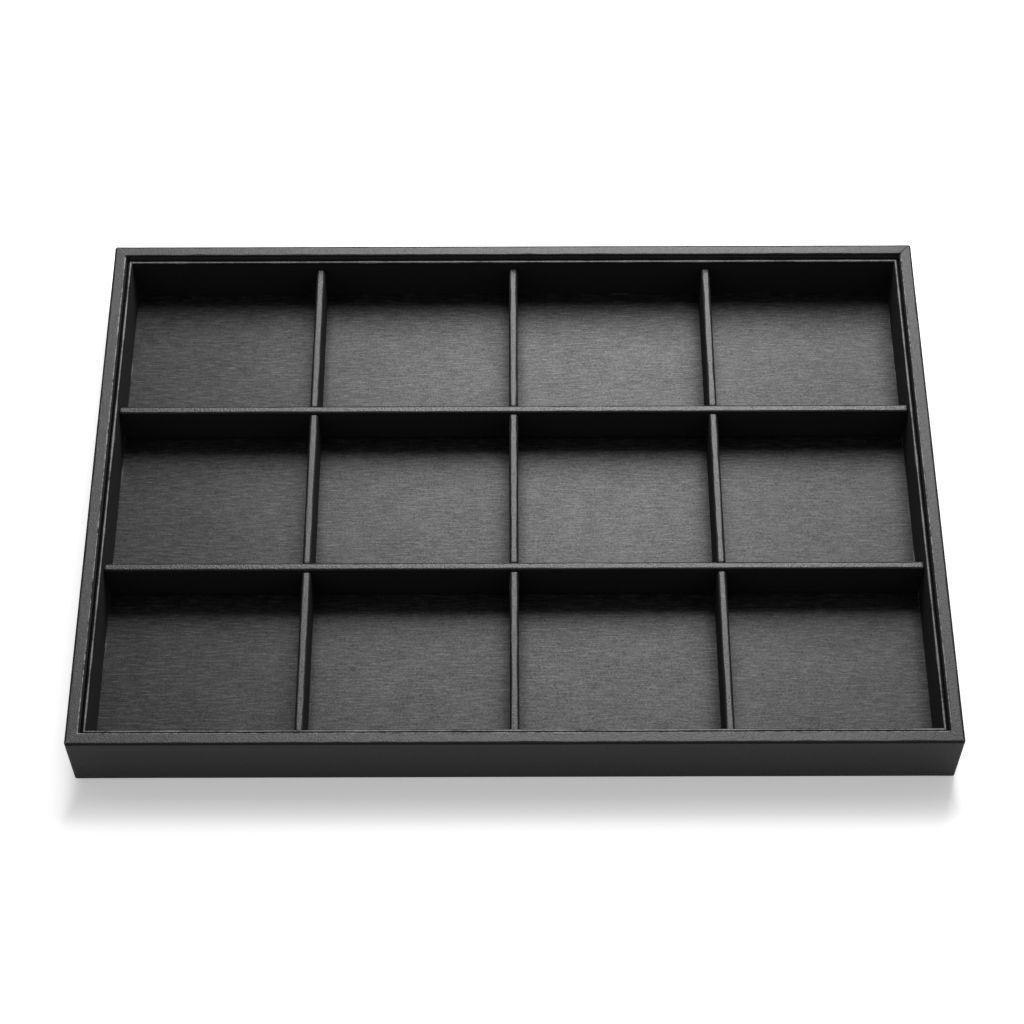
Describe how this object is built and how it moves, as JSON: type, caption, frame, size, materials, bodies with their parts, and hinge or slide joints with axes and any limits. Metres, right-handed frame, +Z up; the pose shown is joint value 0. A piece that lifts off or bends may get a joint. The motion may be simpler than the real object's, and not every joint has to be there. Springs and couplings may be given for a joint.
{
  "type": "jewelry display tray",
  "caption": "Low rectangular display tray in dark leatherette, with a lift-out insert and a removable crossed-divider grid that makes open compartments.",
  "frame": {"origin": "centre of the footprint, on the surface the tray stands on", "axes": "+X to the right along the long side, +Y to the rear, +Z up out of the open side"},
  "size_m": [0.35, 0.245, 0.03],
  "materials": {
    "rail_board": "raw medium-density fibreboard",
    "card_board": "raw greyboard",
    "lining_paper": "matt black",
    "underside_paper": "matt black, fine embossed grain",
    "brushed_leatherette": "brushed, fine side-to-side grain",
    "black_leatherette": "satin, fine grain"
  },
  "bodies": {
    "outer_tray": {"base_board": "rail_board", "base_lining": "lining_paper", "underside_sheet": "underside_paper", "front_rail": "rail_board", "rear_rail": "rail_board", "left_rail": "rail_board", "right_rail": "rail_board", "front_cover": "black_leatherette", "rear_cover": "black_leatherette", "left_cover": "black_leatherette", "right_cover": "black_leatherette"},
    "insert": {"insert_floor_board": "card_board", "insert_floor_cover": "brushed_leatherette", "insert_wall_cover": "black_leatherette", "insert_front_wall": "card_board", "insert_rear_wall": "card_board", "insert_left_wall": "card_board", "insert_right_wall": "card_board"},
    "divider_grid": {"long_divider_front_board": "card_board", "long_divider_front_cover": "black_leatherette", "long_divider_rear_board": "card_board", "long_divider_rear_cover": "black_leatherette", "cross_divider_left_board": "card_board", "cross_divider_left_cover": "black_leatherette", "cross_divider_middle_board": "card_board", "cross_divider_middle_cover": "black_leatherette", "cross_divider_right_board": "card_board", "cross_divider_right_cover": "black_leatherette"}
  },
  "joints": [
    {"name": "insert_lift", "type": "slide", "parent": "outer_tray", "child": "insert", "axis": [0, 0, 1], "range_m": [0, 0.0318]},
    {"name": "grid_lift", "type": "slide", "parent": "insert", "child": "divider_grid", "axis": [0, 0, 1], "range_m": [0, 0.0276]}
  ]
}
